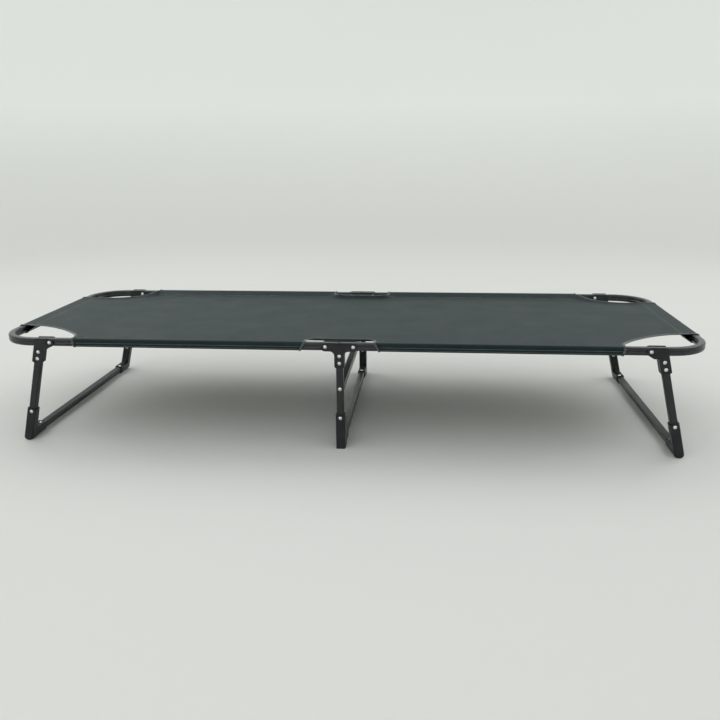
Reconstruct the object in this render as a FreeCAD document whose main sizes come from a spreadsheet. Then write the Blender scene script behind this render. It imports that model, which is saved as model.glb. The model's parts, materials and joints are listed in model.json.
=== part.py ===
import FreeCAD, Part
import math
import os
import re

import Sketcher
from FreeCAD import Vector

# Folding cot. Two U-shaped rail frames meet over a fixed middle leg and fold down about it, and an
# end leg is pivoted under the far end of each. A fabric deck is sewn round the rails.
#
# Frame: +X along the cot, +Y across it, +Z up, origin on the floor under the middle of the cot.
# The right-hand pieces are drawn with x outward; the left-hand ones are the same, turned about Z.

# The driving sizes, in millimetres and degrees. Each one can be changed by itself.
SIZES = (
    ("overall_length", 1900, "over the two end tubes"),
    ("rail_spacing", 672, "between the centre lines of the front and rear rails"),
    ("rail_height", 285, "rail centre line above the floor"),
    ("corner_radius", 100, "rail corners, on the centre line"),
    ("rail_width", 19, "rail section, across"),
    ("rail_depth", 21, "rail section, up"),
    ("rail_corner", 5, "rail section, corner radius"),
    ("rail_wall", 1.4, "rail tube wall"),
    ("groove_height", 5, "groove along the rail's sides, mouth height"),
    ("groove_depth", 1.6, "groove along the rail's sides"),
    ("middle_pivot_pitch", 74, "between the two rail pivots of the middle bracket"),
    ("end_setback", 161.5, "end of the cot to the end leg's pivot"),
    ("meeting_clearance", 0.3, "between one rail end and the plane where the two meet"),
    ("tube_width", 19, "leg and crossbar tube, square"),
    ("tube_corner", 3.5, "leg tube corner radius"),
    ("tube_wall", 1.3, "leg tube wall"),
    ("splay", 14, "lean of the end legs, degrees"),
    ("leg_offset", 27.5, "end leg axis to its pivot"),
    ("side_clearance", 0.3, "rail to the ears on each side of it"),
    ("swing_clearance", 0.5, "rail to the bracket body under it"),
    ("ear_wall", 2.8, "bracket ears beside the rail"),
    ("ear_radius", 11.5, "ear round its pivot"),
    ("ear_drop", 18, "underside of the end bracket's ears below the rail centre line"),
    ("ear_heel", 2.9, "where the ear's slope meets its underside, past its pivot"),
    ("bracket_wall", 3.4, "bracket wall beside the leg tube"),
    ("bracket_fillet", 12, "blend between the middle bracket's arms and its stem"),
    ("bracket_chamfer", 3, "chamfer at the mouth of a bracket"),
    ("bracket_margin", 12, "last leg rivet to the mouth of the bracket"),
    ("socket_clearance", 0.1, "tube to its socket, each side"),
    ("socket_roof", 4, "solid bracket over the top of a leg tube"),
    ("first_rivet_margin", 10, "top of a leg tube to its first rivet"),
    ("leg_rivet_pitch", 19.5, "between the two rivets of a bracket and its leg tube"),
    ("elbow_wall", 2.9, "elbow wall beside the tubes"),
    ("elbow_corner", 4, "corner radius of the elbow's barrels"),
    ("elbow_height", 80, "upright barrel above the crossbar axis"),
    ("elbow_reach", 64, "level barrel beyond the upright axis"),
    ("elbow_seat", 14, "crossbar axis to the end of each tube in the elbow"),
    ("elbow_margin", 9, "rivet to the mouth of the elbow's barrels"),
    ("web_radius", 20, "web between the two barrels"),
    ("web_width", 12, "web between the two barrels"),
    ("foot_drop", 4, "crossbar axis to the centre of the foot's rounding"),
    ("foot_length", 26, "foot block along the crossbar"),
    ("brace_height", 169, "middle leg's brace above the floor"),
    ("plug_length", 30, "plug in each end of the brace"),
    ("screw_length", 26, "brace screw inside the plug"),
    ("shank_radius", 3, "rivets and screws"),
    ("shank_clearance", 0.05, "rivet to its hole"),
    ("head_radius", 5, "rivet head"),
    ("head_height", 2.2, "rivet head"),
    ("recess_radius", 6.8, "dish round a rivet head"),
    ("recess_depth", 0.8, "dish round a rivet head"),
    ("sleeve_clearance", 0.4, "rail to the fabric sleeve round it"),
    ("fabric_thickness", 1.6, "deck and sleeves, as a plain solid"),
    ("deck_gap", 0.2, "deck half to the plane where the halves meet"),
    ("seam_inset", 33.5, "rail centre line to the seam that closes the sleeve"),
    ("middle_cut_length", 190, "deck cut-out at the middle bracket, along the rail"),
    ("middle_cut_depth", 41.5, "deck cut-out inward of the rail centre line"),
    ("end_cut_start", 62, "end leg's pivot to the deck sleeve"),
    ("end_cut_radius", 200, "curve of the deck's corner cut-out"),
    ("end_cut_depth", 134, "end sleeve to the rail centre line"),
    ("hole_allowance", 2, "more than a hole's length that is cut through its piece"),
)

# Sizes that follow from the ones above.
DERIVED = (
    ("half_spacing", "rail_spacing / 2"),
    ("middle_pivot", "middle_pivot_pitch / 2"),
    ("end_pivot", "overall_length / 2 - end_setback"),
    ("end_tube", "overall_length / 2 - rail_width / 2"),
    # A rail end swings up about its pivot, so its lower corner stays inside the meeting plane.
    ("rail_stub", "sqrt((middle_pivot - meeting_clearance)^2 - (rail_depth / 2)^2)"),
    ("rail_start", "middle_pivot - rail_stub"),
    ("slot_width", "rail_width + 2 * side_clearance"),
    ("bracket_depth", "slot_width + 2 * ear_wall"),
    ("bracket_width", "tube_width + 2 * socket_clearance + 2 * bracket_wall"),
    ("socket_width", "tube_width + 2 * socket_clearance"),
    ("socket_corner", "tube_corner + socket_clearance"),
    ("swing_line", "rail_depth / 2 + swing_clearance"),
    ("hole_radius", "shank_radius + shank_clearance"),
    ("elbow_width", "socket_width + 2 * elbow_wall"),
    ("foot_radius", "elbow_width / 2"),
    # Heights of the crossbars: the rounding of every foot touches the floor.
    ("middle_leg_drop", "rail_height - foot_drop - foot_radius"),
    ("end_leg_drop",
     "(rail_height + leg_offset * sin(splay) - foot_radius) / cos(splay) - foot_drop"),
    # Tops of the leg tubes below the pivots, under the roof of the bracket's socket.
    ("middle_tube_top", "swing_line + socket_roof"),
    ("end_tube_top",
     "(swing_line + (leg_offset + tube_width / 2) * sin(splay)) / cos(splay) + socket_roof"),
    ("middle_rivet_drop", "middle_tube_top + first_rivet_margin"),
    ("end_rivet_drop", "end_tube_top + first_rivet_margin"),
    ("middle_mouth", "middle_rivet_drop + leg_rivet_pitch + bracket_margin"),
    ("end_mouth", "end_rivet_drop + leg_rivet_pitch + bracket_margin"),
    ("brace_drop", "rail_height - brace_height"),
    ("brace_length", "rail_spacing - tube_width"),
    ("sleeve_start", "middle_cut_length / 2"),
    ("sleeve_end", "end_pivot - end_cut_start"),
    ("sleeve_inner_width", "rail_width + 2 * sleeve_clearance"),
    ("sleeve_inner_depth", "rail_depth + 2 * sleeve_clearance"),
    ("sleeve_outer_width", "sleeve_inner_width + 2 * fabric_thickness"),
    ("sleeve_outer_depth", "sleeve_inner_depth + 2 * fabric_thickness"),
    ("sleeve_inner_radius", "rail_corner + sleeve_clearance"),
    ("sleeve_outer_radius", "sleeve_inner_radius + fabric_thickness"),
    ("end_sleeve_half", "half_spacing - end_cut_depth"),
    # The corner cut-out starts at the sleeve's inner side.
    ("cut_foot", "half_spacing - sleeve_outer_width / 2"),
    # The sleeve's two plies leave the rail's inner corners and meet at the seam, at rail height.
    ("corner_side", "rail_width / 2 - rail_corner"),
    ("corner_up", "rail_depth / 2 - rail_corner"),
    ("ply_angle", "atan2(corner_up; seam_inset - corner_side) + asin(sleeve_inner_radius / "
     "sqrt((seam_inset - corner_side)^2 + corner_up^2))"),
)

ALIASES = {row[0]: "size" for row in SIZES}
ALIASES.update({row[0]: "derived" for row in DERIVED})

SIDES = (("left", 180), ("right", 0))
ENDS = (("front", -1), ("rear", 1))

doc = FreeCAD.newDocument("folding_cot")


def bind(text):
    """Point each size's name in a formula at its cell."""
    def cell(match):
        word = match.group(0)
        return f"{ALIASES[word]}.{word}" if word in ALIASES else word
    return re.sub(r"[a-z][a-z_]*", cell, text)


def make_sheets():
    """Put the driving sizes and the formulas that follow from them on two sheets."""
    size = doc.addObject("Spreadsheet::Sheet", "size")
    for line, (name, value, meaning) in enumerate(SIZES, start=1):
        size.set(f"A{line}", str(value))
        size.set(f"B{line}", meaning)
        size.setAlias(f"A{line}", name)
    derived = doc.addObject("Spreadsheet::Sheet", "derived")
    for line, (name, formula) in enumerate(DERIVED, start=1):
        derived.set(f"A{line}", "=" + bind(formula))
        derived.setAlias(f"A{line}", name)
    doc.recompute()
    return size


sheet = make_sheets()


def number(text):
    """The present value of a formula."""
    return float(sheet.evalExpression(bind(text)))


def frame(x="0", y="0", z="0", axis="0; 0; 1", angle="0"):
    """A placement as a formula; frames are chained with ' * '."""
    return f"placement(vector({x}; {y}; {z}); rotation(vector({axis}); {angle}))"


def place(item, placement):
    item.setExpression("Placement", bind(placement))


# ---------------------------------------------------------------- sketches and features

def new_body(label, placement):
    body = doc.addObject("PartDesign::Body", label)
    body.Label = label
    place(body, placement)
    return body


def new_sketch(body, plane, offset="0"):
    """A sketch on one of the body's own planes, moved along that plane's normal."""
    sketch = body.newObject("Sketcher::SketchObject", body.Label + "_sketch")
    support = next(item for item in body.Origin.OriginFeatures if item.Role == plane)
    sketch.AttachmentSupport = [(support, "")]
    sketch.MapMode = "FlatFace"
    sketch.setExpression("AttachmentOffset.Base.z", bind(offset))
    return sketch


def constrain(sketch, kind, *where, to):
    index = sketch.addConstraint(Sketcher.Constraint(kind, *where, number(to)))
    sketch.setExpression(f"Constraints[{index}]", bind(to))


def circle(sketch, x, y, radius):
    centre = Vector(number(x), number(y), 0)
    index = sketch.addGeometry(Part.Circle(centre, Vector(0, 0, 1), number(radius)))
    constrain(sketch, "DistanceX", index, 3, to=x)
    constrain(sketch, "DistanceY", index, 3, to=y)
    constrain(sketch, "Radius", index, to=radius)


def arc_between(start, end, radius, turn):
    """The arc from start to end that turns left (turn 1) or right (turn -1), under half a circle."""
    chord = end - start
    rise = math.sqrt(max(radius ** 2 - chord.Length ** 2 / 4, 0))
    normal = Vector(-chord.y, chord.x, 0).normalize()
    centre = (start + end) / 2 + normal * rise * turn
    angles = [math.atan2(point.y - centre.y, point.x - centre.x) for point in (start, end)]
    if turn < 0:
        angles.reverse()
    return Part.ArcOfCircle(Part.Circle(centre, Vector(0, 0, 1), radius), *angles)


def outline(sketch, points, closed=True):
    """Draw a chain of lines and arcs with every corner bound to formulas.

    A point is (x, y), or (x, y, radius, turn) where the stretch that leaves it is an arc.
    """
    corners = [Vector(number(point[0]), number(point[1]), 0) for point in points]
    stretches = len(points) if closed else len(points) - 1
    ends = []
    for i in range(stretches):
        start, end = corners[i], corners[(i + 1) % len(points)]
        if len(points[i]) == 4:
            radius, turn = points[i][2:]
            index = sketch.addGeometry(arc_between(start, end, number(radius), turn))
            constrain(sketch, "Radius", index, to=radius)
            ends.append((index, 1, 2) if turn > 0 else (index, 2, 1))
        else:
            index = sketch.addGeometry(Part.LineSegment(start, end))
            ends.append((index, 1, 2))
    for i, point in enumerate(points):
        if i < stretches:
            index, start_end, _ = ends[i]
        else:
            index, _, start_end = ends[i - 1]
        constrain(sketch, "DistanceX", index, start_end, to=point[0])
        constrain(sketch, "DistanceY", index, start_end, to=point[1])
    for i in range(stretches if closed else stretches - 1):
        index, _, far_end = ends[i]
        following, near_end, _ = ends[(i + 1) % stretches]
        sketch.addConstraint(
            Sketcher.Constraint("Coincident", index, far_end, following, near_end))


def rounded(sketch, x, y, width, height, radius):
    """A rectangle with rounded corners about (x, y)."""
    right, left = f"{x} + {width} / 2", f"{x} - {width} / 2"
    top, bottom = f"{y} + {height} / 2", f"{y} - {height} / 2"
    outline(sketch, (
        (f"{left} + {radius}", bottom),
        (f"{right} - {radius}", bottom, radius, 1),
        (right, f"{bottom} + {radius}"),
        (right, f"{top} - {radius}", radius, 1),
        (f"{right} - {radius}", top),
        (f"{left} + {radius}", top, radius, 1),
        (left, f"{top} - {radius}"),
        (left, f"{bottom} + {radius}", radius, 1),
    ))


def extrude(body, kind, sketch, length, middle=False, reverse=False):
    """A pad or pocket, one way from its sketch or to both sides of it."""
    feature = body.newObject("PartDesign::" + kind, f"{body.Label}_{kind.lower()}")
    feature.Profile = sketch
    feature.Type = "Length"
    feature.SideType = "Symmetric" if middle else "One side"
    feature.Reversed = reverse
    feature.setExpression("Length", bind(length))
    doc.recompute()
    return feature


def cut(body, sketch, length, middle=False, reverse=False):
    """A pocket that has to take material away."""
    before = body.Shape.Volume
    extrude(body, "Pocket", sketch, length, middle, reverse)
    if body.Shape.Volume >= before:
        raise RuntimeError(f"a pocket of {body.Label} cuts nothing")


def cross_holes(body, plane, spots, depth):
    """Rivet holes right through a piece, centred on its plane."""
    sketch = new_sketch(body, plane)
    for x, y in spots:
        circle(sketch, x, y, "hole_radius")
    cut(body, sketch, f"{depth} + hole_allowance", middle=True)


def dishes(body, plane, spots, depth):
    """Shallow dishes round the rivet heads, on both faces of a piece of this depth."""
    for side in (1, -1):
        sketch = new_sketch(body, plane, f"{side} * {depth} / 2")
        for x, y in spots:
            circle(sketch, x, y, "recess_radius")
        cut(body, sketch, "recess_depth", reverse=side < 0)


# ---------------------------------------------------------------- rails and deck

def rail_profile(sketch, y, inset):
    """The rail's section: two bulges with a groove between them along each side."""
    width, height = f"(rail_width / 2 - {inset})", f"(rail_depth / 2 - {inset})"
    radius = f"(rail_corner - {inset})"
    mouth, bottom = f"(groove_height / 2 + {inset} / 2)", f"({width} - groove_depth)"
    outline(sketch, (
        (f"{y} - {width} + {radius}", f"-{height}"),
        (f"{y} + {width} - {radius}", f"-{height}", radius, 1),
        (f"{y} + {width}", f"-{height} + {radius}"),
        (f"{y} + {width}", f"-{mouth}"),
        (f"{y} + {bottom}", "0"),
        (f"{y} + {width}", mouth),
        (f"{y} + {width}", f"{height} - {radius}", radius, 1),
        (f"{y} + {width} - {radius}", height),
        (f"{y} - {width} + {radius}", height, radius, 1),
        (f"{y} - {width}", f"{height} - {radius}"),
        (f"{y} - {width}", mouth),
        (f"{y} - {bottom}", "0"),
        (f"{y} - {width}", f"-{mouth}"),
        (f"{y} - {width}", f"-{height} + {radius}", radius, 1),
    ))


def make_rail(label, placement):
    """A grooved tube bent into a U, open towards the middle of the cot."""
    body = new_body(label, placement)
    path = new_sketch(body, "XY_Plane")
    outline(path, (
        ("rail_start", "-half_spacing"),
        ("end_tube - corner_radius", "-half_spacing", "corner_radius", 1),
        ("end_tube", "-half_spacing + corner_radius"),
        ("end_tube", "half_spacing - corner_radius", "corner_radius", 1),
        ("end_tube - corner_radius", "half_spacing"),
        ("rail_start", "half_spacing"),
    ), closed=False)
    section = new_sketch(body, "YZ_Plane", "rail_start")
    rail_profile(section, "-half_spacing", "0")
    rail_profile(section, "-half_spacing", "rail_wall")
    doc.recompute()
    pipe = body.newObject("PartDesign::AdditivePipe", label + "_pipe")
    pipe.Profile = section
    pipe.Spine = (path, [f"Edge{i + 1}" for i in range(5)])
    doc.recompute()
    cross_holes(body, "XZ_Plane", (("middle_pivot", "0"), ("end_pivot", "0")),
                "rail_spacing + rail_width")


def make_deck(label, placement):
    """Half of the deck: a panel at rail height that rises onto the end tube, and its sleeves."""
    body = new_body(label, placement)
    side = new_sketch(body, "XZ_Plane")
    outline(side, (
        ("deck_gap", "-fabric_thickness / 2"),
        ("sleeve_end", "-fabric_thickness / 2"),
        ("end_tube", "sleeve_outer_depth / 2 - fabric_thickness"),
        ("end_tube", "sleeve_outer_depth / 2"),
        ("sleeve_end", "fabric_thickness / 2"),
        ("deck_gap", "fabric_thickness / 2"),
    ))
    extrude(body, "Pad", side, "rail_spacing", middle=True)
    trim_panel(body)
    for rail, inward in (("-half_spacing", 1), ("half_spacing", -1)):
        section = new_sketch(body, "YZ_Plane", "sleeve_start")
        sleeve_section(section, rail, inward)
        extrude(body, "Pad", section, "sleeve_end - sleeve_start")
    ring = new_sketch(body, "XZ_Plane")
    rounded(ring, "end_tube", "0", "sleeve_outer_width", "sleeve_outer_depth",
            "sleeve_outer_radius")
    rounded(ring, "end_tube", "0", "sleeve_inner_width", "sleeve_inner_depth",
            "sleeve_inner_radius")
    extrude(body, "Pad", ring, "2 * end_sleeve_half", middle=True)


def trim_panel(body):
    """Cut the panel to its outline, with the cut-outs at the middle and at the corners."""
    plan = new_sketch(body, "XY_Plane")
    outline(plan, (
        ("0", "-rail_spacing"),
        ("overall_length", "-rail_spacing"),
        ("overall_length", "rail_spacing"),
        ("0", "rail_spacing"),
    ))
    middle_edge = "(half_spacing - middle_cut_depth)"
    seam = "(half_spacing - seam_inset - fabric_thickness / 2)"
    outline(plan, (
        ("deck_gap", f"-{middle_edge}"),
        ("sleeve_start", f"-{middle_edge}"),
        ("sleeve_start", f"-{seam}"),
        ("sleeve_end", f"-{seam}"),
        ("sleeve_end", "-cut_foot", "end_cut_radius", -1),
        ("end_tube - corner_side", "-end_sleeve_half"),
        ("end_tube", "-end_sleeve_half"),
        ("end_tube", "end_sleeve_half"),
        ("end_tube - corner_side", "end_sleeve_half", "end_cut_radius", -1),
        ("sleeve_end", "cut_foot"),
        ("sleeve_end", seam),
        ("sleeve_start", seam),
        ("sleeve_start", middle_edge),
        ("deck_gap", middle_edge),
    ))
    cut(body, plan, "rail_height", middle=True)


def sleeve_section(sketch, rail, inward):
    """Section of the sleeve round a rail: tight on the rail, then two plies to the seam."""
    def at(side, up):
        return f"{rail} + {inward} * ({side})", up

    for radius, tip in (
        ("sleeve_outer_radius", "fabric_thickness / 2"),
        ("sleeve_inner_radius", None),
    ):
        leave_side = f"(corner_side + {radius} * sin(ply_angle))"
        leave_up = f"(corner_up + {radius} * cos(ply_angle))"
        level, edge = f"(corner_up + {radius})", f"(corner_side + {radius})"
        points = [
            (*at(leave_side, leave_up), radius, inward),
            at("corner_side", level),
            (*at("-corner_side", level), radius, inward),
            at(f"-{edge}", "corner_up"),
            (*at(f"-{edge}", "-corner_up"), radius, inward),
            at("-corner_side", f"-{level}"),
            (*at("corner_side", f"-{level}"), radius, inward),
            at(leave_side, f"-{leave_up}"),
        ]
        if tip:
            reach = f"{leave_side} + ({leave_up} - {tip}) / tan(ply_angle)"
            points += [at(reach, f"-{tip}"), at(reach, tip)]
        else:
            points.append(at("seam_inset", "0"))
        outline(sketch, points)


# ---------------------------------------------------------------- legs

def make_upright(label, placement, top, drop, spots):
    """A square leg tube between its bracket and its elbow, with x = 0 on its axis."""
    body = new_body(label, placement)
    section = new_sketch(body, "XY_Plane", f"elbow_seat - {drop}")
    tube_section(section)
    extrude(body, "Pad", section, f"{drop} - elbow_seat - {top}")
    cross_holes(body, "XZ_Plane", spots, "tube_width")


def make_level_tube(label, placement, length, spots):
    """A square tube across the cot, with its rivet holes upright."""
    body = new_body(label, placement)
    section = new_sketch(body, "XZ_Plane")
    tube_section(section)
    extrude(body, "Pad", section, length, middle=True)
    if spots:
        cross_holes(body, "XY_Plane", spots, "tube_width")


def tube_section(sketch):
    rounded(sketch, "0", "0", "tube_width", "tube_width", "tube_corner")
    bore = "(tube_width - 2 * tube_wall)"
    rounded(sketch, "0", "0", bore, bore, "(tube_corner - tube_wall)")


def socket(body, plane, offset, x, depth, reverse=False):
    """The square hole that a tube is pushed into, from this offset."""
    sketch = new_sketch(body, plane, offset)
    rounded(sketch, x, "0", "socket_width", "socket_width", "socket_corner")
    cut(body, sketch, depth, reverse=reverse)


def make_end_bracket(label, placement):
    """The end leg's moulded head, with its pivot at the origin and its leg axis upright.

    Seen from this frame the rail leans by the splay. Two ears stand beside the rail; the body
    under it takes the leg tube, and its sloped top is what the rail rests on when the leg is out.
    """
    body = new_body(label, placement)
    near, far = "(leg_offset - bracket_width / 2)", "(leg_offset + bracket_width / 2)"

    def level(x, height):
        """The height at x of a line that is level when the cot stands."""
        return f"(({height}) - ({x}) * sin(splay)) / cos(splay)"

    shape = new_sketch(body, "XZ_Plane")
    outline(shape, (
        ("ear_radius * sin(splay)", "ear_radius * cos(splay)", "ear_radius", 1),
        ("-ear_radius", "0", "ear_radius", 1),
        ("-ear_radius * cos(45)", "-ear_radius * sin(45)"),
        ("ear_heel", level("ear_heel", "-ear_drop")),
        (near, level(near, "-ear_drop")),
        (near, "bracket_chamfer - end_mouth"),
        (f"{near} + bracket_chamfer", "-end_mouth"),
        (f"{far} - bracket_chamfer", "-end_mouth"),
        (far, "bracket_chamfer - end_mouth"),
        (far, level(far, "ear_radius")),
    ))
    extrude(body, "Pad", shape, "bracket_depth", middle=True)

    slot = new_sketch(body, "XZ_Plane")
    outline(slot, (
        ("-2 * end_mouth", "-2 * end_mouth"),
        (near, "-2 * end_mouth"),
        (near, level(near, "-swing_line")),
        ("2 * end_mouth", level("2 * end_mouth", "-swing_line")),
        ("2 * end_mouth", "2 * end_mouth"),
        ("-2 * end_mouth", "2 * end_mouth"),
    ))
    cut(body, slot, "slot_width", middle=True)
    socket(body, "XY_Plane", "-end_mouth", "leg_offset", "end_mouth - end_tube_top", reverse=True)
    spots = (("0", "0"), ("leg_offset", "-end_rivet_drop"),
             ("leg_offset", "-end_rivet_drop - leg_rivet_pitch"))
    cross_holes(body, "XZ_Plane", spots, "bracket_depth")
    dishes(body, "XZ_Plane", spots, "bracket_depth")


def make_middle_bracket(label, placement):
    """The middle leg's moulded head: a T with an ear round each rail's pivot."""
    body = new_body(label, placement)
    stem = "(bracket_width / 2)"
    arm = "(middle_pivot + ear_radius)"
    shape = new_sketch(body, "XZ_Plane")
    outline(shape, (
        ("middle_pivot", "ear_radius"),
        ("-middle_pivot", "ear_radius", "ear_radius", 1),
        (f"-{arm}", "0", "ear_radius", 1),
        ("-middle_pivot", "-ear_radius"),
        (f"-{stem} - bracket_fillet", "-ear_radius", "bracket_fillet", -1),
        (f"-{stem}", "-ear_radius - bracket_fillet"),
        (f"-{stem}", "bracket_chamfer - middle_mouth"),
        (f"bracket_chamfer - {stem}", "-middle_mouth"),
        (f"{stem} - bracket_chamfer", "-middle_mouth"),
        (stem, "bracket_chamfer - middle_mouth"),
        (stem, "-ear_radius - bracket_fillet", "bracket_fillet", -1),
        (f"{stem} + bracket_fillet", "-ear_radius"),
        ("middle_pivot", "-ear_radius", "ear_radius", 1),
        (arm, "0", "ear_radius", 1),
    ))
    extrude(body, "Pad", shape, "bracket_depth", middle=True)
    slot = new_sketch(body, "XZ_Plane")
    reach = "(2 * middle_pivot)"
    outline(slot, (
        (f"-{reach}", f"-{reach}"),
        (f"-{stem}", f"-{reach}"),
        (f"-{stem}", "-swing_line"),
        (stem, "-swing_line"),
        (stem, f"-{reach}"),
        (reach, f"-{reach}"),
        (reach, reach),
        (f"-{reach}", reach),
    ))
    cut(body, slot, "slot_width", middle=True)
    socket(body, "XY_Plane", "-middle_mouth", "0", "middle_mouth - middle_tube_top", reverse=True)
    spots = (("-middle_pivot", "0"), ("middle_pivot", "0"), ("0", "-middle_rivet_drop"),
             ("0", "-middle_rivet_drop - leg_rivet_pitch"))
    cross_holes(body, "XZ_Plane", spots, "bracket_depth")
    dishes(body, "XZ_Plane", spots, "bracket_depth")


def make_elbow(label, placement, rounded_foot):
    """A moulded corner: origin where the tube axes cross, one barrel up, the other along +Y."""
    body = new_body(label, placement)
    foot = "(foot_drop + foot_radius)"
    upright = new_sketch(body, "XY_Plane", f"-{foot}")
    rounded(upright, "0", "0", "elbow_width", "elbow_width", "elbow_corner")
    extrude(body, "Pad", upright, f"{foot} + elbow_height")
    level = new_sketch(body, "XZ_Plane", "-elbow_reach")
    rounded(level, "0", "0", "elbow_width", "elbow_width", "elbow_corner")
    extrude(body, "Pad", level, "elbow_reach")
    block = new_sketch(body, "XZ_Plane", "-foot_length")
    outline(block, (
        ("-elbow_width / 2", f"-{foot}"), ("elbow_width / 2", f"-{foot}"),
        ("elbow_width / 2", "0"), ("-elbow_width / 2", "0"),
    ))
    extrude(body, "Pad", block, "foot_length")

    web = new_sketch(body, "YZ_Plane")
    root, tip = "(elbow_width / 2 - 1)", "(elbow_width / 2 + web_radius)"
    outline(web, (
        (root, root), (tip, root),
        (tip, "elbow_width / 2", "web_radius", -1), ("elbow_width / 2", tip),
        (root, tip),
    ))
    extrude(body, "Pad", web, "web_width", middle=True)

    if rounded_foot:
        rounding = new_sketch(body, "XZ_Plane")
        outline(rounding, (
            ("-foot_radius", "-foot_drop", "foot_radius", 1),
            ("0", f"-{foot}", "foot_radius", 1),
            ("foot_radius", "-foot_drop"), ("elbow_width", "-foot_drop"),
            ("elbow_width", "-2 * elbow_width"), ("-elbow_width", "-2 * elbow_width"),
            ("-elbow_width", "-foot_drop"),
        ))
        cut(body, rounding, "4 * elbow_reach", middle=True)
    socket(body, "XY_Plane", "elbow_height", "0", "elbow_height - elbow_seat")
    socket(body, "XZ_Plane", "-elbow_reach", "0", "elbow_reach - elbow_seat", reverse=True)
    upright_spot = (("0", "elbow_height - elbow_margin"),)
    level_spot = (("0", "elbow_reach - elbow_margin"),)
    for plane, spot in (("XZ_Plane", upright_spot), ("XY_Plane", level_spot)):
        cross_holes(body, plane, spot, "elbow_width")
        dishes(body, plane, spot, "elbow_width")


# ---------------------------------------------------------------- fasteners

def domed_head(name, position, flip):
    """A rivet head on the plane z = position, domed upwards, or downwards if flipped."""
    head = doc.addObject("Part::Sphere", name)
    ball = "((head_radius^2 + head_height^2) / (2 * head_height))"
    head.setExpression("Radius", bind(ball))
    head.setExpression("Angle1", bind(f"asin(({ball} - head_height) / {ball})"))
    drop = f"head_height - {ball}"
    if flip:
        place(head, frame(z=f"-({position}) - ({drop})", axis="1; 0; 0", angle="180"))
    else:
        place(head, frame(z=f"{position} + {drop}"))
    return head


def make_rivet(name, seat):
    """A domed rivet along Z with both heads seated this far from its middle."""
    shank = doc.addObject("Part::Cylinder", name + "_shank")
    shank.setExpression("Radius", bind("shank_radius"))
    shank.setExpression("Height", bind(f"2 * ({seat})"))
    place(shank, frame(z=f"-({seat})"))
    rivet = doc.addObject("Part::MultiFuse", name + "_whole")
    rivet.Shapes = [shank, domed_head(name + "_head", seat, False),
                    domed_head(name + "_tail", seat, True)]
    return rivet


def make_screw(name, head_seat, length):
    """A domed screw along Z: its head is seated on z = head_seat and it runs down from there."""
    shank = doc.addObject("Part::Cylinder", name + "_shank")
    shank.setExpression("Radius", bind("shank_radius"))
    shank.setExpression("Height", bind(length))
    place(shank, frame(z=f"{head_seat} - ({length})"))
    screw = doc.addObject("Part::MultiFuse", name + "_whole")
    screw.Shapes = [shank, domed_head(name + "_head", head_seat, False)]
    return screw


def make_group(label, base, pieces):
    """Separate solids kept as one sub-part. pieces are (object, placement in the base frame)."""
    for piece, placement in pieces:
        place(piece, placement)
    group = doc.addObject("Part::Compound", label)
    group.Label = label
    group.Links = [piece for piece, _ in pieces]
    place(group, base)
    return group


def across(x, y, z):
    """A frame whose Z runs along the cot's Y, for fasteners through a bracket or elbow."""
    return frame(x, y, z, axis="1; 0; 0", angle="90")


BRACKET_SEAT = "bracket_depth / 2 - recess_depth"
ELBOW_SEAT = "elbow_width / 2 - recess_depth"


def rivets(label, base, seat, frames):
    names = [f"{label}_{i + 1}" for i in range(len(frames))]
    make_group(label, base, [(make_rivet(name, seat), where) for name, where in zip(names, frames)])


def make_elbow_rivets(label, base, axis_x, drop):
    """Two rivets in each of a leg's elbows."""
    frames = []
    for _, sign in ENDS:
        height = f"elbow_height - elbow_margin - {drop}"
        inward = f"{sign} * (half_spacing - elbow_reach + elbow_margin)"
        frames.append(across(axis_x, f"{sign} * half_spacing", height))
        frames.append(frame(axis_x, inward, f"-{drop}"))
    rivets(label, base, ELBOW_SEAT, frames)


# ---------------------------------------------------------------- the assembly

def make_frame_half(side, turn):
    base = frame(z="rail_height", angle=str(turn))
    make_rail(f"{side}_rail", base)
    make_deck(f"{side}_deck", base)


CROSSBAR_SPOTS = tuple(("0", f"{sign} * (half_spacing - elbow_reach + elbow_margin)")
                       for _, sign in ENDS)


def make_end_leg(side, turn):
    base = (frame(z="rail_height", angle=str(turn)) + " * "
            + frame("end_pivot", axis="0; 1; 0", angle="-splay"))
    tube_spots = (("0", "-end_rivet_drop"), ("0", "-end_rivet_drop - leg_rivet_pitch"),
                  ("0", "elbow_height - elbow_margin - end_leg_drop"))
    for end, sign in ENDS:
        # Turning the left leg about Z swaps its two ends.
        local = sign if turn == 0 else -sign
        at_rail = base + " * " + frame(y=f"{local} * half_spacing")
        at_leg = base + " * " + frame("leg_offset", f"{local} * half_spacing")
        make_end_bracket(f"{side}_leg_bracket_{end}", at_rail)
        make_upright(f"{side}_leg_upright_{end}", at_leg, "end_tube_top", "end_leg_drop", tube_spots)
        at_elbow = base + " * " + frame("leg_offset", f"{local} * half_spacing", "-end_leg_drop",
                                        angle="0" if local < 0 else "180")
        make_elbow(f"{side}_leg_elbow_{end}", at_elbow, rounded_foot=True)
    make_level_tube(f"{side}_leg_crossbar", base + " * " + frame("leg_offset", z="-end_leg_drop"),
                    "rail_spacing - 2 * elbow_seat", CROSSBAR_SPOTS)
    ends = [f"{sign} * half_spacing" for _, sign in ENDS]
    rivets(f"{side}_leg_pivots", base, BRACKET_SEAT, [across("0", y, "0") for y in ends])
    rivets(f"{side}_leg_bracket_rivets", base, BRACKET_SEAT,
           [across("leg_offset", y, f"-end_rivet_drop - {row} * leg_rivet_pitch")
            for y in ends for row in (0, 1)])
    make_elbow_rivets(f"{side}_leg_elbow_rivets", base, "leg_offset", "end_leg_drop")


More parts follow.
